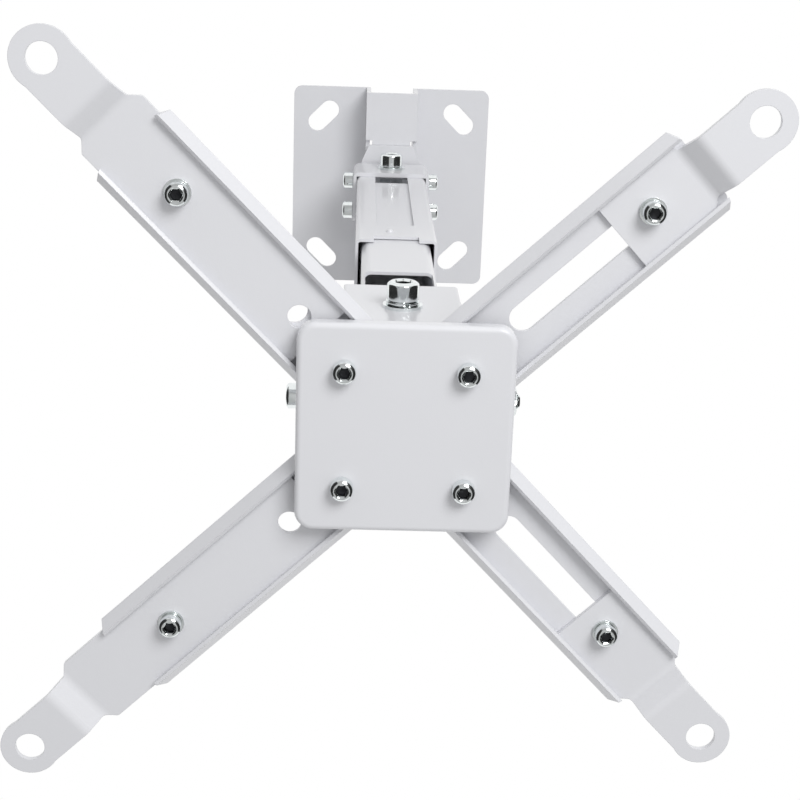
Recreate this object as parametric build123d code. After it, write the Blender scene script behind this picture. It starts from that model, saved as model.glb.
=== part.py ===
from build123d import *
import os
from math import cos, radians, sin, sqrt, tan

os.makedirs("parts", exist_ok=True)

# Projector ceiling mount: a ceiling plate, a telescopic column and a four-armed hub.
# The origin is the centre of the face that lies on the ceiling, +Z is up, and the mount
# hangs down to -Z. -Y is the side of the column with the swivel bolts. Sizes are in mm.

# Clearances
running_fit = 0.1          # radial gap of a pin in the hole that it turns in
loose_fit = 0.3            # radial gap of a clamping screw in its hole
sliding_gap = 0.3          # gap on each side of a part that slides or turns past another
face_gap = 0.1             # gap between flat faces that move on each other
thread_gap = 0.05          # radial gap that stands for the thread of a nut

# Fasteners: shank radius, head radius, head height, socket width, nut width, nut height
M5 = dict(r=2.5, head_r=4.25, head_h=5.0, socket=4.0, nut_w=8.0, nut_h=4.0)
M6 = dict(r=3.0, head_r=5.0, head_h=6.0, socket=5.0, nut_w=10.0, nut_h=5.0)
M8 = dict(r=4.0, head_r=6.5, head_h=7.6, socket=6.0, nut_w=13.0, nut_h=6.5)
socket_share = 0.55        # depth of a socket as a share of the head's height
head_chamfer = 0.5
thread_end = 1.5           # how far a screw's end stands out of its nut
cut_over = 1.0             # how far a cutting tool runs past a face
small_washer_r = 5.0
small_washer_h = 1.0
wide_washer_r = 7.5
wide_washer_h = 1.2
side_washer_r = 6.0
side_washer_h = 1.6
swivel_washer_r = 8.2
swivel_washer_h = 1.3
spring_washer_r = 6.9
spring_washer_h = 1.7

# Ceiling plate: a flat plate with a raised channel down its middle
plate_width = 120.0
plate_height = 122.0
plate_sheet = 2.5
plate_corner = 5.0
hat_width = 31.0
hat_depth = 28.0           # from the ceiling to the channel's face
hat_window = 60.0          # length of the opening cut in the channel's face
notch_width = 4.0
notch_depth = 2.5
slot_width = 11.4
slot_pitch = 10.5          # distance between the two end centres of a slot
slot_inset_x = 18.3        # from the plate's edge to a slot's centre
slot_inset_y = 18.0

# Yoke welded over the window of the channel
yoke_width = 40.0
yoke_sheet = 2.5
yoke_half_height = 14.0
yoke_top_width = 27.0
tilt_y = -10.0             # tilt pivot of the column
tilt_z = -40.0
yoke_eye_r = 6.5
yoke_eye_front = 0.85      # where the cheek's edges meet its eye, as shares of the eye's radius
yoke_eye_back = 0.98

# Upper saddle, a folded bracket that carries the column
saddle_sheet = 2.0
saddle_web = 2.5
saddle_front = 27.0        # from the tilt pivot to the front edge
saddle_back = 6.0          # from the tilt pivot to the rear edge
saddle_drop = 11.0         # from the tilt pivot down to the lower edge of a cheek
saddle_bend = 3.5
saddle_lip = 4.0           # depth of a cheek at the front edge
side_eye_r = 6.5

# Column
tube_width = 40.0
tube_height = 32.0
tube_wall = 1.5
tube_corner = 2.5
inner_corner = 4.5
inner_side_gap = 1.6       # between the two tubes on each side, wider than above and below
tube_top = -17.0           # the side of the column that the saddles lie on
tube_mouth = -240.0
tube_back = -52.0
swivel_bolt_z = -50.0      # bolt through the upper saddle
tongue_width = 23.0
tube_slot_width = 18.8
tube_slot_corner = 3.0
tube_slot_near = -206.0
tube_slot_far = -63.0
mouth_notch_width = 22.0
mouth_notch_depth = 8.0
side_screw_y = 4.5
side_screw_z = -58.0
lock_z = -224.0            # height lock screw under the column's mouth
lock_room = 2.0            # between the lock screw's head and its nut
inner_back = -75.0
inner_end = -352.0
window_far = -300.0
window_near = -342.0
window_width = 30.4

# Lower saddle, on the inner tube's end
lower_bolt_z = -374.0
lower_width = 49.6
lower_sheet = 2.5
lower_web = 3.0
lower_back = 36.0          # from the swivel bolt to the rear edge
lower_front = 28.0         # from the swivel bolt to the front edge
lower_side_step = 0.6      # the web is this much narrower behind the cheeks
lower_bend = 2.0
cheek_start = 12.0         # from the swivel bolt back to where the cheeks begin
hub_tilt_y = 8.0
hub_tilt_z = -414.0
cheek_eye_r = 10.0

# Hub
hub_y = 9.0                # height of the hub's centre
hub_width = 80.0
hub_front = -450.0
cap_depth = 6.0
cap_wall = 2.0
cap_corner = 7.0
cap_edge = 2.0
hub_pitch = 45.0           # distance between neighbouring hub screws
back_sheet = 2.5
back_width = 74.6
hub_cheek_eye_r = 11.0

# Arms: channels with leaning sides, and the sliding tabs in them
arm_width = 39.8
arm_depth = 7.0
arm_sheet = 1.6
arm_bend = 1.5
arm_lean = 36.0            # how far the sides lean inwards from square, in degrees
arm_length = 111.0         # from the hub screw to the end
arm_end_taper = 3.2        # how far the end slopes back across each side
arm_end_r = 1.5
arm_slot_width = 10.0
arm_slot_start = 22.0
arm_slot_end = 105.0
tab_sheet = 2.0
short_tab_start = 73.0     # inner end of a short tab, from the hub screw
long_tab_start = 14.0
joggle = 6.0               # how far the ear stands in front of the tab
joggle_r = 5.5
ear_r = 11.5
ear_hole_r = 5.7
neck_width = 22.2
neck_r = 2.5
shoulder_to_ear = 28.3     # from the ear to where the neck meets the shoulder
shoulder_r = 1.5
bend_to_ear = 28.0
second_bend_to_ear = 20.3
spare_hole_r = 4.4

# Each arm: direction in degrees from +X, distance from its hub screw to its ear and to
# its clamp screw, and from the ear to a long tab's spare hole
arms = {
    "left_rear": dict(angle=225.4, reach=151.0, clamp=86.4, spare=126.9),
    "right_rear": dict(angle=316.9, reach=136.6, clamp=87.4, spare=None),
    "right_front": dict(angle=46.2, reach=142.2, clamp=84.5, spare=None),
    "left_front": dict(angle=136.6, reach=164.3, clamp=88.8, spare=137.5),
}

# Levels that follow from the sizes above
inner_top = tube_top + tube_wall + sliding_gap
inner_width = tube_width - 2 * (tube_wall + inner_side_gap)
inner_height = tube_height - 2 * (tube_wall + sliding_gap)
cap_back = hub_front + cap_depth
arm_front = cap_back + face_gap
arm_back = arm_front + arm_depth
web_front = arm_back - arm_sheet
tab_back = web_front - face_gap
tab_front = tab_back - tab_sheet
back_front = arm_back + face_gap
back_rear = back_front + back_sheet
side_lean = tan(radians(arm_lean))
side_width = arm_sheet / cos(radians(arm_lean))
tab_width = arm_width - 2 * (side_width + (arm_back - tab_front) * side_lean + face_gap)

UP = (Align.CENTER, Align.CENTER, Align.MIN)
DOWN = (Align.CENTER, Align.CENTER, Align.MAX)


def save(name, *solids):
    """Write one node's STEP file."""
    body = solids[0] if len(solids) == 1 else Compound(children=list(solids))
    export_step(body, f"parts/{name}.step")


def box(x0, x1, y0, y1, z0, z1):
    """A block between two corners."""
    block = Box(x1 - x0, y1 - y0, z1 - z0, align=(Align.MIN, Align.MIN, Align.MIN))
    return Pos(x0, y0, z0) * block


def aimed(x, y, z, direction):
    """The place of a fastener whose own +Z points along direction."""
    return Plane(origin=(x, y, z), z_dir=direction).location


def rod(place, radius, low, high):
    """A round bar along a place's own Z, from low to high."""
    return place * Pos(0, 0, low) * Cylinder(radius, high - low, align=UP)


def ring(outer, inner, height):
    return Cylinder(outer, height, align=UP) - Cylinder(inner, 3 * height)


def cap_screw(size, grip):
    """A socket cap screw: its head stands on z = 0 and its shank reaches down to -grip."""
    head = Cylinder(size["head_r"], size["head_h"], align=UP)
    head = chamfer(head.edges().group_by(Axis.Z)[-1], head_chamfer)
    depth = size["head_h"] * socket_share
    hexagon = RegularPolygon(size["socket"] / 2, 6, major_radius=False)
    head -= Pos(0, 0, size["head_h"] - depth) * extrude(hexagon, depth)
    shank = Cylinder(size["r"], grip, align=DOWN)
    shank = chamfer(shank.edges().group_by(Axis.Z)[0], head_chamfer)
    return head + shank


def nut(size):
    """A hexagon nut that stands on z = 0."""
    prism = extrude(RegularPolygon(size["nut_w"] / 2, 6, major_radius=False), size["nut_h"])
    corner = size["nut_w"] / sqrt(3)
    blank = Cylinder(corner, size["nut_h"], align=UP)
    blank = chamfer(blank.edges(), head_chamfer)
    return (prism & blank) - Cylinder(size["r"] + thread_gap, 3 * size["nut_h"])


def side_plate(points, x0, x1, eye):
    """A cheek in the YZ plane: a polygon joined to a round eye, from x0 to x1."""
    eye_y, eye_z, eye_r = eye
    outline = make_face(Polyline(*points, close=True))
    outline += Pos(eye_y, eye_z) * Circle(eye_r)
    return Pos(x0, 0, 0) * extrude(Plane.YZ * outline, x1 - x0)


# Ceiling plate
half_w = plate_width / 2
half_h = plate_height / 2
hat_half = hat_width / 2
flange = extrude(RectangleRounded(plate_width, plate_height, plate_corner), -plate_sheet)
flange -= box(-hat_half, hat_half, -half_h, half_h, -plate_sheet, 0)
hat = box(-hat_half, hat_half, -half_h, half_h, -hat_depth, 0)
hat -= box(-hat_half + plate_sheet, hat_half - plate_sheet, -half_h, half_h,
           -hat_depth + plate_sheet, 0)
ceiling_plate = flange + hat
window_half = hat_window / 2
ceiling_plate -= box(-hat_half, hat_half, -window_half, window_half,
                     -hat_depth, -hat_depth + plate_sheet)
for side in (-1, 1):
    for end in (-1, 1):
        notch_x = side * (hat_half - notch_width / 2)
        notch = Box(notch_width, notch_depth, 2 * plate_sheet)
        ceiling_plate -= Pos(notch_x, end * (window_half + notch_depth / 2), -hat_depth) * notch
        slot = SlotCenterToCenter(slot_pitch, slot_width)
        slot_turn = -45 if side == end else 45
        slot_place = Pos(side * (half_w - slot_inset_x), end * (half_h - slot_inset_y), 0)
        ceiling_plate -= slot_place * Rot(0, 0, slot_turn) * extrude(slot, -plate_sheet)
save("ceiling_plate", ceiling_plate)

# Yoke over the window, with two cheeks that hold the tilt screws
yoke_half = yoke_width / 2
yoke_rear = -hat_depth
yoke_face = yoke_rear - yoke_sheet
yoke_top_half = yoke_top_width / 2
yoke_base = make_face(Polyline(
    (-yoke_half, yoke_half_height), (yoke_half, yoke_half_height),
    (yoke_half, -yoke_half_height), (yoke_top_half, -window_half),
    (-yoke_top_half, -window_half), (-yoke_half, -yoke_half_height), close=True))
yoke = Pos(0, 0, yoke_rear) * extrude(yoke_base, -yoke_sheet)
yoke_cheek = [(-yoke_half_height, yoke_rear), (yoke_half_height, yoke_rear),
              (yoke_half_height, yoke_face),
              (tilt_y + yoke_eye_r * yoke_eye_front, tilt_z - yoke_eye_r / 2),
              (tilt_y - yoke_eye_r * yoke_eye_back, tilt_z), (-yoke_half_height, yoke_face)]
tilt_eye = (tilt_y, tilt_z, yoke_eye_r)
for side in (-1, 1):
    inner_x = side * (yoke_half - yoke_sheet)
    cheek = side_plate(yoke_cheek, min(inner_x, side * yoke_half), max(inner_x, side * yoke_half),
                       tilt_eye)
    yoke += cheek
    yoke -= rod(aimed(0, tilt_y, tilt_z, (side, 0, 0)), M6["r"] + thread_gap, 0, yoke_width)
save("ceiling_yoke", yoke)

# Upper saddle
saddle_in = yoke_half + sliding_gap
saddle_out = saddle_in + saddle_sheet
saddle_far = tilt_z + saddle_back
saddle_near = tilt_z - saddle_front
web_out = tube_top - saddle_web
upper_saddle = box(-saddle_out, saddle_out, web_out, tube_top, saddle_near, saddle_far)
cheek_low = tilt_y + saddle_drop
screw_low = side_screw_y + side_eye_r
saddle_cheek = [(web_out, saddle_far), (web_out, saddle_near), (tube_top + saddle_lip, saddle_near),
                (side_screw_y, side_screw_z - side_eye_r), (screw_low, side_screw_z),
                (cheek_low, tilt_z), (cheek_low, saddle_far)]
for side in (-1, 1):
    low_x = min(side * saddle_in, side * saddle_out)
    upper_saddle += side_plate(saddle_cheek, low_x, low_x + saddle_sheet,
                               (side_screw_y, side_screw_z, side_eye_r))
bends = upper_saddle.edges().filter_by(Axis.Z).group_by(Axis.Y)[0]
upper_saddle = fillet(bends, saddle_bend)
for side in (-1, 1):
    tilt_axis = aimed(0, tilt_y, tilt_z, (side, 0, 0))
    upper_saddle -= rod(tilt_axis, M6["r"] + running_fit, saddle_in - cut_over, saddle_out + cut_over)
    screw_axis = aimed(0, side_screw_y, side_screw_z, (side, 0, 0))
    upper_saddle -= rod(screw_axis, M6["r"] + loose_fit, saddle_in - cut_over, saddle_out + cut_over)
swivel_axis = aimed(0, 0, swivel_bolt_z, (0, -1, 0))
upper_saddle -= rod(swivel_axis, M8["r"] + loose_fit, -tube_top - cut_over, -web_out + cut_over)
save("upper_saddle", upper_saddle)

# Outer tube
tube_mid = tube_top + tube_height / 2


def hollow(width, height, wall, corner, far, near, middle):
    """A rectangular tube along Z, between two levels."""
    skin = RectangleRounded(width, height, corner)
    skin -= RectangleRounded(width - 2 * wall, height - 2 * wall, max(corner - wall, 0.5))
    return Pos(0, middle, near) * extrude(skin, far - near)


outer_tube = hollow(tube_width, tube_height, tube_wall, tube_corner, tube_back, tube_mouth, tube_mid)
tongue_half = tongue_width / 2
tongue = box(-tongue_half, tongue_half, tube_top, tube_top + tube_wall,
             tube_back - tube_wall, swivel_bolt_z)
tongue += rod(swivel_axis, tongue_half, -tube_top - tube_wall, -tube_top)
outer_tube += tongue
tube_slot = RectangleRounded(tube_slot_width, tube_slot_far - tube_slot_near, tube_slot_corner)
outer_tube -= Pos(0, tube_top, (tube_slot_far + tube_slot_near) / 2) * (
    Rot(90, 0, 0) * extrude(tube_slot, 2 * tube_wall, both=True))
notch_half = mouth_notch_width / 2
outer_tube -= box(-notch_half, notch_half, tube_top - cut_over, tube_top + 2 * tube_wall,
                  tube_mouth, tube_mouth + mouth_notch_depth)
outer_tube -= rod(swivel_axis, M8["r"] + loose_fit, -tube_top - tube_wall - cut_over, -tube_top + cut_over)
for side in (-1, 1):
    screw_axis = aimed(0, side_screw_y, side_screw_z, (side, 0, 0))
    outer_tube -= rod(screw_axis, M6["r"] + loose_fit, tube_width / 2 - 2 * tube_wall,
                      tube_width / 2 + cut_over)
tube_low = tube_top + tube_height
lock_axis = aimed(0, 0, lock_z, (0, 1, 0))
outer_tube -= rod(lock_axis, M6["r"] + loose_fit, tube_low - tube_wall - cut_over, tube_low + cut_over)
save("outer_tube", outer_tube)

# Inner tube, with a window in its upper side and a tongue under the lower saddle
inner_tube = hollow(inner_width, inner_height, tube_wall, inner_corner, inner_back, inner_end, tube_mid)
lower_axis = aimed(0, 0, lower_bolt_z, (0, -1, 0))
end_tongue = box(-tongue_half, tongue_half, inner_top, inner_top + tube_wall,
                 lower_bolt_z, inner_end + tube_wall)
end_tongue += rod(lower_axis, tongue_half, -inner_top - tube_wall, -inner_top)
inner_tube += end_tongue
window_half_x = window_width / 2
inner_tube -= box(-window_half_x, window_half_x, inner_top - cut_over, inner_top + 2 * tube_wall,
                  window_near, window_far)
inner_tube -= rod(lower_axis, M8["r"] + running_fit, -inner_top - tube_wall - cut_over, -inner_top + cut_over)
save("inner_tube", inner_tube)

# Lower saddle
lower_half = lower_width / 2
lower_in = lower_half - lower_sheet
lower_under = inner_top - face_gap
lower_top = lower_under - lower_web
lower_far = lower_bolt_z + lower_back
lower_near = lower_bolt_z - lower_front
cheeks_far = lower_bolt_z + cheek_start
web_half = lower_half - lower_side_step
lower_saddle = box(-web_half, web_half, lower_top, lower_under, lower_near, lower_far)
lower_cheek = [(lower_top, cheeks_far), (hub_tilt_y, cheeks_far),
               (hub_tilt_y + cheek_eye_r, hub_tilt_z), (hub_tilt_y, hub_tilt_z - cheek_eye_r),
               (lower_top, lower_near)]
for side in (-1, 1):
    low_x = min(side * lower_in, side * lower_half)
    lower_saddle += side_plate(lower_cheek, low_x, low_x + lower_sheet,
                               (hub_tilt_y, hub_tilt_z, cheek_eye_r))
outer_edges = lower_saddle.edges().filter_by(Axis.Z).group_by(Axis.Y)[0]
lower_saddle = fillet(outer_edges.group_by(Axis.X)[0] + outer_edges.group_by(Axis.X)[-1], lower_bend)
lower_saddle -= rod(lower_axis, M8["r"] + loose_fit, -lower_under - cut_over, -lower_top + cut_over)
tilt_axis = aimed(0, hub_tilt_y, hub_tilt_z, (1, 0, 0))
lower_saddle -= rod(tilt_axis, M6["r"] + running_fit, -lower_width, lower_width)
save("lower_saddle", lower_saddle)

# Hub back plate, folded back on both sides into cheeks
back_half = back_width / 2
back_in = back_half - back_sheet
hub_back = Pos(0, hub_y, back_front) * extrude(
    RectangleRounded(back_width, back_width, cap_corner), back_sheet)
hub_cheek = [(hub_y - back_half + cap_corner, back_front), (hub_y + back_half - cap_corner, back_front),
             (hub_y + back_half - cap_corner, back_rear), (hub_tilt_y + hub_cheek_eye_r, hub_tilt_z),
             (hub_tilt_y - hub_cheek_eye_r, hub_tilt_z), (hub_y - back_half + cap_corner, back_rear)]
for side in (-1, 1):
    low_x = min(side * back_in, side * back_half)
    hub_back += side_plate(hub_cheek, low_x, low_x + back_sheet,
                           (hub_tilt_y, hub_tilt_z, hub_cheek_eye_r))
hub_back -= rod(tilt_axis, M6["r"] + loose_fit, -back_width, back_width)

# Hub cap, a shallow pan that closes the hub in front
hub_cap = Pos(0, hub_y, hub_front) * extrude(RectangleRounded(hub_width, hub_width, cap_corner),
                                             cap_depth)
hub_cap = fillet(hub_cap.faces().sort_by(Axis.Z)[0].edges(), cap_edge)
cap_room = hub_width - 2 * cap_wall
hub_cap -= Pos(0, hub_y, hub_front + cap_wall) * extrude(
    RectangleRounded(cap_room, cap_room, cap_corner - cap_wall), cap_depth)

# Hub screws, each the pivot of one arm
hub_screws = []
hub_nuts = []
hub_grip = back_rear + M5["nut_h"] + thread_end - hub_front
for name, arm in arms.items():
    direction = radians(arm["angle"])
    arm["x"] = hub_pitch / 2 * (1 if cos(direction) > 0 else -1)
    arm["y"] = hub_y + hub_pitch / 2 * (1 if sin(direction) > 0 else -1)
    place = Pos(arm["x"], arm["y"], 0)
    hub_back -= rod(place, M5["r"] + loose_fit, back_front - cut_over, back_rear + cut_over)
    hub_cap -= rod(place, M5["r"] + loose_fit, hub_front - cut_over, hub_front + cap_wall + cut_over)
    hub_screws.append(aimed(arm["x"], arm["y"], hub_front, (0, 0, -1)) * cap_screw(M5, hub_grip))
    hub_nuts.append(Pos(arm["x"], arm["y"], back_rear) * nut(M5))
save("hub_back_plate", hub_back)
save("hub_cap", hub_cap)
save("hub_screws", *hub_screws)
save("hub_nuts", *hub_nuts)


def arm_channel():
    """One arm along +X with its hub screw at x = 0: a channel with leaning sides."""
    half = arm_width / 2
    foot = half - side_width - arm_sheet * side_lean
    lip = half - arm_depth * side_lean
    lip_in = lip - arm_sheet * cos(radians(arm_lean))
    lip_back = arm_front + arm_sheet * sin(radians(arm_lean))
    section = make_face(Polyline(
        (-half, arm_back), (half, arm_back), (lip, arm_front), (lip_in, lip_back),
        (foot, web_front), (-foot, web_front), (-lip_in, lip_back), (-lip, arm_front),
        close=True))
    channel = Pos(-half, 0, 0) * extrude(Plane.YZ * section, arm_length + half)
    channel = fillet(channel.edges().filter_by(Axis.X).group_by(Axis.Z)[-1], arm_bend)
    taper = arm_length - arm_end_taper
    end = make_face(Polyline((0, -half), (taper, -half), (arm_length, -lip_in),
                             (arm_length, lip_in), (taper, half), (0, half), close=True))
    end = fillet(end.vertices().filter_by(lambda corner: corner.X > 0), arm_end_r)
    outline = Circle(half) + end
    channel &= Pos(0, 0, arm_front) * extrude(outline, arm_depth)
    slot_mid = (arm_slot_start + arm_slot_end) / 2
    slot_face = Pos(slot_mid, 0) * SlotOverall(arm_slot_end - arm_slot_start, arm_slot_width)
    channel -= Pos(0, 0, web_front - cut_over) * extrude(slot_face, arm_sheet + 2 * cut_over)
    return channel - rod(Pos(0, 0, 0), M5["r"] + running_fit, arm_front, arm_back + cut_over)


def ear_tab(start, arm):
    """One sliding tab along +X from start, with its ear at the arm's reach."""
    reach = arm["reach"]
    slope = joggle / (bend_to_ear - second_bend_to_ear)
    shift = tab_sheet * (sqrt(1 + slope * slope) - 1) / slope
    first = reach - bend_to_ear
    second = reach - second_bend_to_ear
    tip = reach + ear_r
    profile = make_face(Polyline(
        (start, tab_back), (first, tab_back), (second, tab_back - joggle), (tip, tab_back - joggle),
        (tip, tab_front - joggle), (second - shift, tab_front - joggle),
        (first - shift, tab_front), (start, tab_front), close=True))
    tab = extrude(Plane.XZ * profile, tab_width / 2, both=True)
    bend_lines = [edge for edge in tab.edges().filter_by(Axis.Y)
                  if first - tab_sheet < edge.center().X < second + tab_sheet]
    tab = fillet(bend_lines, joggle_r)
    neck_half = neck_width / 2
    tab_half = tab_width / 2
    corner = reach - shoulder_to_ear
    side = corner - (tab_half - neck_half)
    blank = make_face(Polyline(
        (start, -tab_half), (side, -tab_half), (corner, -neck_half), (reach, -neck_half),
        (reach, neck_half), (corner, neck_half), (side, tab_half), (start, tab_half), close=True))
    outer_corners = [v for v in blank.vertices() if abs(v.X - side) < neck_r / 2]
    blank = fillet(outer_corners, shoulder_r)
    inner_corners = [v for v in blank.vertices() if abs(v.X - corner) < shoulder_r / 2]
    outline = fillet(inner_corners, neck_r) + Pos(reach, 0) * Circle(ear_r)
    ear_front = tab_front - joggle
    tab &= Pos(0, 0, ear_front - cut_over) * extrude(outline, joggle + tab_sheet + 2 * cut_over)
    tab -= rod(Pos(reach, 0, 0), ear_hole_r, ear_front - cut_over, tab_back)
    tab -= rod(Pos(arm["clamp"], 0, 0), M5["r"] + loose_fit, tab_front - cut_over, tab_back + cut_over)
    if arm["spare"]:
        spare_x = reach - arm["spare"]
        tab -= rod(Pos(spare_x, 0, 0), spare_hole_r, tab_front - cut_over, tab_back + cut_over)
    return tab


# Arms, tabs and their clamp screws
clamp_head = tab_front - small_washer_h
clamp_back = arm_back + wide_washer_h
clamp_grip = clamp_back + M5["nut_h"] + thread_end - clamp_head
clamp_screw = Pos(0, 0, clamp_head) * Rot(180, 0, 0) * cap_screw(M5, clamp_grip)
clamp_washer = Pos(0, 0, clamp_head) * ring(small_washer_r, M5["r"] + running_fit, small_washer_h)
clamp_plate = Pos(0, 0, arm_back) * ring(wide_washer_r, M5["r"] + running_fit, wide_washer_h)
clamp_nut = Pos(0, 0, clamp_back) * nut(M5)
channel = arm_channel()
for name, arm in arms.items():
    place = Pos(arm["x"], arm["y"], 0) * Rot(0, 0, arm["angle"])
    start = long_tab_start if arm["spare"] else short_tab_start
    save(f"{name}_arm", place * channel)
    save(f"{name}_tab", place * ear_tab(start, arm))
    place *= Pos(arm["clamp"], 0, 0)
    save(f"{name}_clamp_screw", place * clamp_screw)
    save(f"{name}_clamp_washers", place * clamp_washer, place * clamp_plate)
    save(f"{name}_clamp_nut", place * clamp_nut)

# Swivel bolts of both saddles: a flat washer on the web, on the lower one a spring washer
# too, and a nut below
for name, bolt_z, web_face, spring, nut_face in (
        ("upper", swivel_bolt_z, web_out, 0, tube_top + tube_wall),
        ("lower", lower_bolt_z, lower_top, spring_washer_h, inner_top + tube_wall + face_gap)):
    washer_face = web_face - swivel_washer_h
    head_face = washer_face - spring
    grip = nut_face + M8["nut_h"] + thread_end - head_face
    save(f"{name}_bolt", aimed(0, head_face, bolt_z, (0, -1, 0)) * cap_screw(M8, grip))
    save(f"{name}_flat_washer", aimed(0, web_face, bolt_z, (0, -1, 0)) * ring(
        swivel_washer_r, M8["r"] + running_fit, swivel_washer_h))
    save(f"{name}_bolt_nut", aimed(0, nut_face, bolt_z, (0, 1, 0)) * nut(M8))
spring_face = lower_top - swivel_washer_h
save("lower_spring_washer", aimed(0, spring_face, lower_bolt_z, (0, -1, 0)) * ring(
    spring_washer_r, M8["r"] + running_fit, spring_washer_h))

# Tilt screws of the ceiling yoke, and the screws that hold the tube in its saddle
tilt_screws = []
tilt_nuts = []
tube_screws = []
tube_nuts = []
yoke_inner = yoke_half - yoke_sheet
tube_inner = tube_width / 2 - tube_wall
for side in (-1, 1):
    head_x = side * (saddle_out + face_gap)
    grip = saddle_out + face_gap - yoke_inner + M6["nut_h"]
    tilt_screws.append(aimed(head_x, tilt_y, tilt_z, (side, 0, 0)) * cap_screw(M6, grip))
    tilt_nuts.append(aimed(side * yoke_inner, tilt_y, tilt_z, (-side, 0, 0)) * nut(M6))
    grip = saddle_out - tube_inner + M6["nut_h"]
    tube_screws.append(aimed(side * saddle_out, side_screw_y, side_screw_z, (side, 0, 0))
                       * cap_screw(M6, grip))
    tube_nuts.append(aimed(side * tube_inner, side_screw_y, side_screw_z, (-side, 0, 0)) * nut(M6))
save("tilt_screws", *tilt_screws)
save("tilt_nuts", *tilt_nuts)
save("tube_screws", *tube_screws)
save("tube_nuts", *tube_nuts)

# Height lock: a nut welded under the tube's mouth, and a screw that presses on the inner tube
lock_tip = tube_low - tube_wall - sliding_gap + face_gap
lock_head = tube_low + M6["nut_h"] + lock_room
save("height_lock_nut", aimed(0, tube_low, lock_z, (0, 1, 0)) * nut(M6))
save("height_lock_screw", aimed(0, lock_head, lock_z, (0, 1, 0)) * cap_screw(M6, lock_head - lock_tip))

# Hub tilt bolt across both brackets, with a sleeve on each side
sleeve_low = lower_half + face_gap
bolt_head = -back_half - side_washer_h
tilt_grip = 2 * back_half + 2 * side_washer_h + M6["nut_h"] + thread_end
save("hub_tilt_bolt", aimed(bolt_head, hub_tilt_y, hub_tilt_z, (-1, 0, 0)) * cap_screw(M6, tilt_grip))
tilt_washers = []
tilt_sleeves = []
for side in (-1, 1):
    tilt_washers.append(aimed(side * back_half, hub_tilt_y, hub_tilt_z, (side, 0, 0)) * ring(
        side_washer_r, M6["r"] + running_fit, side_washer_h))
    tilt_sleeves.append(aimed(side * sleeve_low, hub_tilt_y, hub_tilt_z, (side, 0, 0)) * ring(
        side_washer_r, M6["r"] + running_fit, back_in - sleeve_low))
save("hub_tilt_washers", *tilt_washers)
save("hub_tilt_sleeves", *tilt_sleeves)
save("hub_tilt_nut", aimed(back_half + side_washer_h, hub_tilt_y, hub_tilt_z, (1, 0, 0)) * nut(M6))
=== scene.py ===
from math import copysign, cos, pi, radians, sin, sqrt

import bmesh
import bpy
from mathutils import Matrix, Vector


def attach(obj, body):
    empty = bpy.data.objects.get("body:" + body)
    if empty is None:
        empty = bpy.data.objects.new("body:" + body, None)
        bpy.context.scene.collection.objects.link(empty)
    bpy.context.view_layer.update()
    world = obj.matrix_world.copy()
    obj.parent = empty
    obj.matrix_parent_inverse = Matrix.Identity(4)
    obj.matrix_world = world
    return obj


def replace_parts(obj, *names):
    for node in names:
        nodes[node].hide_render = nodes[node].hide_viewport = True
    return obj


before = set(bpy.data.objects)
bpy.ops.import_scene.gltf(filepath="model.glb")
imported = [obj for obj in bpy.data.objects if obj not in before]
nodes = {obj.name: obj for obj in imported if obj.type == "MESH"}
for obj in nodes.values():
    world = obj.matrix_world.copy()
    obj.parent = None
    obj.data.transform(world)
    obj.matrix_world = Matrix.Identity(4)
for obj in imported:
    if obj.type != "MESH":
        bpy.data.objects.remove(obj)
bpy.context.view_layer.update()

# Camera, under the mount and looking up at its hub.
# It stands where the photograph was taken from, fitted to the corners of the ceiling plate,
# the hub cap and the ears. The image is taken to be 800 pixels square.
camera = bpy.data.cameras.new("camera")
camera.lens = 72.92
camera.sensor_width = 36.0
camera.clip_start = 0.01
camera.clip_end = 20.0
camera_stand = bpy.data.objects.new("camera", camera)
camera_stand.location = (-0.01914, -0.18246, -1.01122)
camera_stand.rotation_euler = (radians(162.215), radians(1.134), radians(-1.907))
bpy.context.scene.collection.objects.link(camera_stand)
bpy.context.scene.camera = camera_stand


# Ceiling plate and its welded yoke.
# Both are pressed from 2.5 mm sheet steel and powder-coated white in one go.
# The coat is baked hard and semi-gloss. It flows round the cut edges and has a fine orange peel.
class Level:
    """A number that varies over a surface. Arithmetic on it adds Math nodes."""

    def __init__(self, finish, socket):
        self.finish = finish
        self.socket = socket

    def math(self, operation, first, second):
        return self.finish.add("ShaderNodeMath", {"operation": operation}, {0: first, 1: second})

    def __add__(self, other):
        return self.math("ADD", self, other)

    def __radd__(self, other):
        return self.math("ADD", other, self)

    def __rmul__(self, other):
        return self.math("MULTIPLY", other, self)


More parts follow.
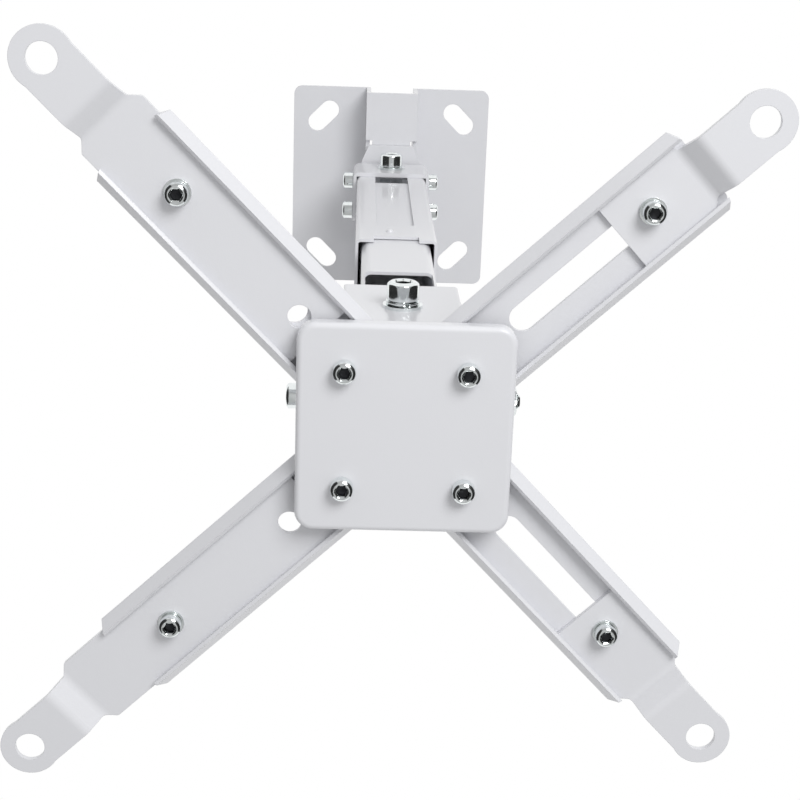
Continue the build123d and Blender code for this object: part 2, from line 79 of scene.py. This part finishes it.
class Finish:
    """One material that is put together from nodes."""

    def __init__(self, name):
        self.material = bpy.data.materials.new(name)
        self.material.use_nodes = True
        self.tree = self.material.node_tree
        self.surface = self.tree.nodes["Principled BSDF"]

    def add(self, kind, settings=None, sockets=None, out=0):
        """Adds a node with its settings and what goes into its sockets, and gives its output."""
        node = self.tree.nodes.new(kind)
        for key, value in (settings or {}).items():
            setattr(node, key, value)
        for key, value in (sockets or {}).items():
            self.put(node.inputs[key], value)
        return Level(self, node.outputs[out])

    def put(self, socket, value):
        """Links a level to a socket, or sets the socket to a plain value."""
        if isinstance(value, Level):
            self.tree.links.new(value.socket, socket)
        else:
            socket.default_value = value

    def shade(self, **sockets):
        for name, value in sockets.items():
            self.put(self.surface.inputs[name.replace("_", " ")], value)

    def noise(self, scale, detail, roughness=0.5):
        """Noise through the piece, with scale as its waves per metre."""
        spot = self.add("ShaderNodeTexCoord", out="Object")
        return self.add("ShaderNodeTexNoise", {}, {"Vector": spot, "Scale": scale, "Detail": detail,
                                                   "Roughness": roughness}, out="Fac")

    def colour(self, share, first, second):
        """Goes from the first colour to the second as the share goes from 0 to 1."""
        return self.add("ShaderNodeMix", {"data_type": "RGBA"}, {0: share, 6: first, 7: second},
                        out=2)

    def relief(self, height, strength, depth, edge):
        """Bumps of a depth, and a radius on the edges, both in metres."""
        soft_edge = self.add("ShaderNodeBevel", {"samples": 4}, {"Radius": edge})
        return self.add("ShaderNodeBump", {}, {"Strength": strength, "Distance": depth,
                                               "Height": height, "Normal": soft_edge})


def white_coat(name, peel=0.00003, edge=0.0005):
    """Baked white powder coat, with the depth of its orange peel and its radius on edges."""
    thin = (0.765, 0.770, 0.800, 1)
    full = (0.800, 0.805, 0.835, 1)
    finish = Finish(name)
    cloud = finish.noise(28.0, 3.0)
    fine = finish.noise(1900.0, 2.0)
    grit = finish.noise(5200.0, 1.0)
    finish.shade(Base_Color=finish.colour(0.25 + 0.7 * cloud, thin, full),
                 Roughness=0.27 + 0.1 * cloud + 0.06 * fine,
                 Normal=finish.relief(fine + 0.4 * grit, 0.55, peel, edge),
                 Coat_Weight=0.4, Coat_Roughness=0.1)
    return finish.material


def dress(material, *names):
    """Gives CAD nodes a finish."""
    for name in names:
        mesh = nodes[name].data
        mesh.materials.clear()
        mesh.materials.append(material)


sheet_coat = white_coat("powder_coat_on_sheet")
dress(sheet_coat, "ceiling_plate", "ceiling_yoke")


# Column: the upper saddle, the outer tube, the inner tube and the lower saddle.
# The saddles are folded sheet. The tubes are drawn rectangular steel, whose smooth walls give
# the coat less peel, and whose cut ends are sharper.
tube_coat = white_coat("powder_coat_on_tube", peel=0.00002, edge=0.0004)
dress(tube_coat, "outer_tube", "inner_tube")
dress(sheet_coat, "upper_saddle", "lower_saddle")


# Hub: the cap in front, with its rounded rim, and the folded back plate.
# The arms run between them. All are coated one by one before they are put together.
cap_coat = white_coat("powder_coat_on_cap", edge=0.0009)
dress(cap_coat, "hub_cap")
dress(sheet_coat, "hub_back_plate")


# Arms and their sliding tabs, pressed from thinner sheet.
# A screw in each long slot clamps the tab to its arm.
arm_turns = {"left_rear": 225.4, "right_rear": 316.9, "right_front": 46.2, "left_front": 136.6}
arm_coat = white_coat("powder_coat_on_arms", edge=0.00035)
for arm in arm_turns:
    dress(arm_coat, arm + "_arm", arm + "_tab")


# Socket cap screws in metric sizes: a turned head with a broached hexagon socket.
# They are rolled steel, zinc-plated bright, with a bluish tint from the chromate dip.
def zinc_and_painted_shade(name, dark, light, rough):
    finish = Finish(name)
    cloud = finish.noise(420.0, 3.0)
    grain = finish.noise(3200.0, 2.0, 0.6)
    finish.shade(Base_Color=finish.colour(1.2 * cloud, dark, light), Metallic=1.0,
                 Roughness=rough + 0.1 * cloud, Normal=finish.relief(grain, 0.3, 0.00002, 0.0002))
    return finish.material


zinc = zinc_and_painted_shade("bright_zinc_plate", (0.70, 0.74, 0.74, 1), (0.92, 0.95, 0.95, 1), 0.06)
# The deep part of each socket gets a near-black metal: painted shade, not the zinc's own colour.
socket_painted_shade = zinc_and_painted_shade("painted_shade_in_the_socket", (0.012, 0.012, 0.015, 1), (0.05, 0.052, 0.056, 1), 0.3)


def keep(shape, name, body, finish_slot, *materials):
    """Ends a piece: its mesh, its shading, its finish and the body that it rides on."""
    mesh = bpy.data.meshes.new(name)
    shape.to_mesh(mesh)
    shape.free()
    for material in materials:
        mesh.materials.append(material)
    mesh.shade_smooth()
    mesh.set_sharp_from_angle(angle=radians(32))
    piece = bpy.data.objects.new(name, mesh)
    bpy.context.scene.collection.objects.link(piece)
    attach(piece, body)
    return piece


def lathe(shape, line, steps):
    """Spins a line of (radius, height) points round the z axis."""
    points = [shape.verts.new((radius, 0, height)) for radius, height in line]
    edges = [shape.edges.new(pair) for pair in zip(points, points[1:])]
    bmesh.ops.spin(shape, geom=points + edges, cent=(0, 0, 0), axis=(0, 0, 1), dvec=(0, 0, 0),
                   angle=2 * pi, steps=steps, use_merge=True)
    bmesh.ops.remove_doubles(shape, verts=shape.verts, dist=1e-7)


# Sizes in mm: radii of the shank and the head, the head's height, the width of the key that fits
# it, the thread's pitch, and the width of the slope at the head's rim.
m5_screw = {"shank": 2.5, "head": 4.25, "height": 5.0, "key": 4.0, "pitch": 0.8, "rim": 1.2}
m6_screw = {"shank": 3.0, "head": 5.0, "height": 6.0, "key": 5.0, "pitch": 1.0, "rim": 1.2}
m8_screw = {"shank": 4.0, "head": 6.5, "height": 7.6, "key": 6.0, "pitch": 1.25, "rim": 1.4}
head_chamfer = 0.0003      # at the socket's mouth and at the head's lower edge
plain_share = 0.35         # share of the shank that has no thread
thread_share = 0.55        # depth of the thread as a share of its pitch
mouth_share = 1.06         # size of the hexagon at the socket's mouth against the key
mouth_level = 0.93         # height of that hexagon as a share of the head's
turned_steps = 36
socket_rings = ((0.03, 0.94, False), (0.25, 1.0, False), (0.2, 1.0, True), (0.08, 0.12, True))


def socket_screw(shape, size, length, seat, aim):
    """Adds a screw to shape. Its head stands on seat and points along aim, and length is its shank."""
    shank, head, height, key, pitch, rim = (value / 1000 for value in size.values())
    mouth = key / sqrt(3) * mouth_share
    shoulder = height - 0.5 * rim
    depth = -plain_share * length
    line = [(mouth + head_chamfer, height), (head - rim, height),
            (head - rim + 0.0002, height - 0.00005), (head - 0.0003, shoulder),
            (head - 0.0001, shoulder - 0.0002), (head, shoulder - 0.0006),
            (head, head_chamfer), (head - head_chamfer, 0), (shank, 0), (shank, depth)]
    while depth - pitch > -length + pitch / 2:
        line += [(shank - thread_share * pitch, depth - pitch / 2), (shank, depth - pitch)]
        depth -= pitch
    line += [(shank - 0.7 * pitch, -length), (0, -length)]
    screw = bmesh.new()
    lathe(screw, line, turned_steps)

    # The socket: the round mouth is joined to a hexagon, which goes down in rings. Each has its
    # drop as a share of the head's height, its narrowing, and whether it takes the near-black painted
    # shade.
    open_rim = [edge for edge in screw.edges if edge.is_boundary]
    ring = bmesh.ops.create_circle(screw, segments=6, radius=mouth,
                                   matrix=Matrix.Translation((0, 0, mouth_level * height)))
    corner_edges = list({edge for vert in ring["verts"] for edge in vert.link_edges})
    bmesh.ops.subdivide_edges(screw, edges=corner_edges, cuts=turned_steps // 6 - 1)
    hexagon = [edge for edge in screw.edges if edge.is_wire]
    bmesh.ops.bridge_loops(screw, edges=open_rim + hexagon)
    for drop, narrow, dark in socket_rings:
        skirt = bmesh.ops.extrude_edge_only(screw, edges=hexagon)
        lower = [item for item in skirt["geom"] if isinstance(item, bmesh.types.BMVert)]
        hexagon = [item for item in skirt["geom"] if isinstance(item, bmesh.types.BMEdge)
                   and all(vert in lower for vert in item.verts)]
        bmesh.ops.translate(screw, verts=lower, vec=(0, 0, -drop * height))
        bmesh.ops.scale(screw, verts=lower, vec=(narrow, narrow, 1))
        for item in skirt["geom"]:
            if isinstance(item, bmesh.types.BMFace):
                item.material_index = 1 if dark else 0
    # The socket's floor takes the near-black painted shade too.
    bmesh.ops.edgeloop_fill(screw, edges=hexagon, mat_nr=1)
    bmesh.ops.recalc_face_normals(screw, faces=screw.faces)

    turn = Vector((0, 0, 1)).rotation_difference(Vector(aim)).to_matrix().to_4x4()
    bmesh.ops.transform(screw, verts=screw.verts, matrix=Matrix.Translation(seat) @ turn)
    carried = bpy.data.meshes.new("screw")
    screw.to_mesh(carried)
    screw.free()
    shape.from_mesh(carried)
    bpy.data.meshes.remove(carried)


def screws(name, body, size, length, places):
    """The screws of one CAD node, each from (seat, aim)."""
    shape = bmesh.new()
    for seat, aim in places:
        socket_screw(shape, size, length, seat, aim)
    piece = keep(shape, name + "_turned", body, "zinc", zinc, socket_painted_shade)
    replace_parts(piece, name)


hub_y = 0.009              # the hub's middle
hub_reach = 0.0225         # from there to a hub screw, along x and along y
hub_places = [((x, hub_y + y, -0.450), (0, 0, -1))
              for x in (-hub_reach, hub_reach) for y in (-hub_reach, hub_reach)]
screws("hub_screws", "hub", m5_screw, 0.0212, hub_places)

# From an arm's hub screw to its clamp screw
clamp_reach = {"left_rear": 0.0864, "right_rear": 0.0874, "right_front": 0.0845, "left_front": 0.0888}
for arm, degrees in arm_turns.items():
    turn = radians(degrees)
    x = copysign(hub_reach, cos(turn)) + clamp_reach[arm] * cos(turn)
    y = hub_y + copysign(hub_reach, sin(turn)) + clamp_reach[arm] * sin(turn)
    screws(arm + "_clamp_screw", arm + "_tab", m5_screw, 0.0114, [((x, y, -0.4416), (0, 0, -1))])


def both_sides(x, y, z):
    """Places of two screws that point away from each other along x."""
    return [((side * x, y, z), (side, 0, 0)) for side in (-1, 1)]


screws("tilt_screws", "ceiling", m6_screw, 0.0099, both_sides(0.0224, -0.010, -0.040))
screws("tube_screws", "column", m6_screw, 0.0088, both_sides(0.0223, 0.0045, -0.058))
screws("hub_tilt_bolt", "hub", m6_screw, 0.0843, [((-0.0389, 0.008, -0.414), (-1, 0, 0))])
screws("height_lock_screw", "column", m6_screw, 0.0087, [((0, 0.0220, -0.224), (0, 1, 0))])


# Swivel bolts: the largest screws, each on a flat washer, and the lower one on a spring washer too.
# The spring washer is a square wire wound into one turn, so its ends stand apart and askew.
screws("upper_bolt", "column", m8_screw, 0.0133, [((0, -0.0208, -0.050), (0, -1, 0))])
screws("lower_bolt", "swivel", m8_screw, 0.0157, [((0, -0.0213, -0.374), (0, -1, 0))])
wire_inner = 0.0042
wire_outer = 0.0069
wire_height = 0.0013
wire_rise = 0.0004         # from one end of the turn to the other
wire_degrees = 348
wire_steps = 46
wire_edge = 0.00015
split = bmesh.new()
corners = [split.verts.new((radius, 0, height)) for radius, height in (
    (wire_inner, 0), (wire_outer, 0), (wire_outer, wire_height), (wire_inner, wire_height))]
start = split.faces.new(corners)
bmesh.ops.spin(split, geom=corners + list(start.edges) + [start], cent=(0, 0, 0), axis=(0, 0, 1),
               dvec=(0, 0, wire_rise / wire_steps), angle=radians(wire_degrees), steps=wire_steps,
               use_merge=False)
bmesh.ops.recalc_face_normals(split, faces=split.faces)
sharp = [edge for edge in split.edges if edge.calc_face_angle(0) > 1]
bmesh.ops.bevel(split, geom=sharp, offset=wire_edge, segments=2, profile=0.5, affect="EDGES",
                material=-1)
upright = Matrix.Translation((0, -0.0196, -0.374)) @ Matrix.Rotation(radians(90), 4, "X")
gap_turn = Matrix.Rotation(radians(-70), 4, "Z")
bmesh.ops.transform(split, verts=split.verts, matrix=upright @ gap_turn)
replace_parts(keep(split, "split_washer", "swivel", "zinc", zinc), "lower_spring_washer")
dress(zinc, "upper_flat_washer", "lower_flat_washer", "upper_bolt_nut", "lower_bolt_nut")


# Nuts, flat washers and spacer sleeves of the smaller screws.
# They are stamped or turned from steel, and plated like the screws.
dress(zinc, "hub_nuts", "tilt_nuts", "tube_nuts", "height_lock_nut", "hub_tilt_nut")
dress(zinc, "hub_tilt_washers", "hub_tilt_sleeves")
for arm in arm_turns:
    dress(zinc, arm + "_clamp_washers", arm + "_clamp_nut")


# Slide stop: a small domed rivet in the outer tube's upper side, near its mouth.
# It is set before the coat goes on, so it is white like the tube.
stop_dome = [(0, 0.0016), (0.0008, 0.0015), (0.0015, 0.0011), (0.0019, 0.0005), (0.0021, -0.0003)]
stop = bmesh.new()
lathe(stop, stop_dome, 24)
bmesh.ops.recalc_face_normals(stop, faces=stop.faces)
on_tube = Matrix.Translation((-0.003, -0.017, -0.221)) @ Matrix.Rotation(radians(90), 4, "X")
bmesh.ops.transform(stop, verts=stop.verts, matrix=on_tube)
keep(stop, "slide_stop", "column", "white_coat", tube_coat)


# Floor of the studio, far under the mount. It is a matt disc that also glows for the camera,
# so that it fades into the white behind it.
floor = bmesh.new()
bmesh.ops.create_circle(floor, cap_ends=True, segments=64, radius=6.0,
                        matrix=Matrix.Translation((0, 0, -1.9)))
floor_mesh = bpy.data.meshes.new("floor")
floor.to_mesh(floor_mesh)
floor.free()
floor_plane = bpy.data.objects.new("floor", floor_mesh)
bpy.context.scene.collection.objects.link(floor_plane)
pale = Finish("pale_floor")
camera_ray = pale.add("ShaderNodeLightPath", out="Is Camera Ray")
matt = pale.add("ShaderNodeBsdfDiffuse", {}, {"Color": (0.8, 0.8, 0.8, 1)})
glow = pale.add("ShaderNodeEmission", {}, {"Color": (1, 1, 1, 1), "Strength": 1.0})
mixed = pale.add("ShaderNodeMixShader", {}, {0: 0.6 * camera_ray, 1: matt, 2: glow})
pale.put(pale.tree.nodes["Material Output"].inputs["Surface"], mixed)
floor_mesh.materials.append(pale.material)


# Light of the studio: one large soft lamp on the side of the swivel bolts, and a world that fills
# the rest. The world is white where the camera or a reflection sees it, and dimmer as a light.
# Dark flags on both sides show only in reflections.
fill_level = 0.58
seen_level = 1.0
world = bpy.data.worlds.new("studio")
bpy.context.scene.world = world
world.use_nodes = True
air = world.node_tree
paths = air.nodes.new("ShaderNodeLightPath")
seen = air.nodes.new("ShaderNodeMath")
seen.operation = "MAXIMUM"
air.links.new(paths.outputs["Is Camera Ray"], seen.inputs[0])
air.links.new(paths.outputs["Is Glossy Ray"], seen.inputs[1])
fill = air.nodes.new("ShaderNodeMix")
fill.inputs[2].default_value = fill_level
fill.inputs[3].default_value = seen_level
air.links.new(seen.outputs[0], fill.inputs[0])
air.links.new(fill.outputs[0], air.nodes["Background"].inputs["Strength"])
air.nodes["Background"].inputs["Color"].default_value = (1, 1, 1, 1)

lamp_place = Vector((0.60, -1.02, -1.44))
lamp_target = Vector((0, 0, -0.35))
light = bpy.data.lights.new("key", "AREA")
light.shape = "DISK"
light.size = 0.85
light.energy = 15.6
lamp = bpy.data.objects.new("key", light)
lamp.location = lamp_place
lamp.rotation_euler = (lamp_target - lamp_place).to_track_quat("-Z", "Y").to_euler()
lamp.visible_camera = False
bpy.context.scene.collection.objects.link(lamp)

black = Finish("black_cloth")
black.shade(Base_Color=(0.02, 0.02, 0.02, 1), Roughness=0.9)
for side in (-1, 1):
    flag = bmesh.new()
    bmesh.ops.create_grid(flag, size=1.1, matrix=Matrix.Translation((side * 0.85, 0, -0.9))
                          @ Matrix.Rotation(radians(90), 4, "Y"))
    flag_mesh = bpy.data.meshes.new("dark_flag")
    flag.to_mesh(flag_mesh)
    flag.free()
    flag_mesh.materials.append(black.material)
    stand = bpy.data.objects.new("dark_flag", flag_mesh)
    stand.visible_camera = False
    stand.visible_diffuse = False
    stand.visible_shadow = False
    bpy.context.scene.collection.objects.link(stand)

bpy.context.scene.view_settings.view_transform = "Standard"
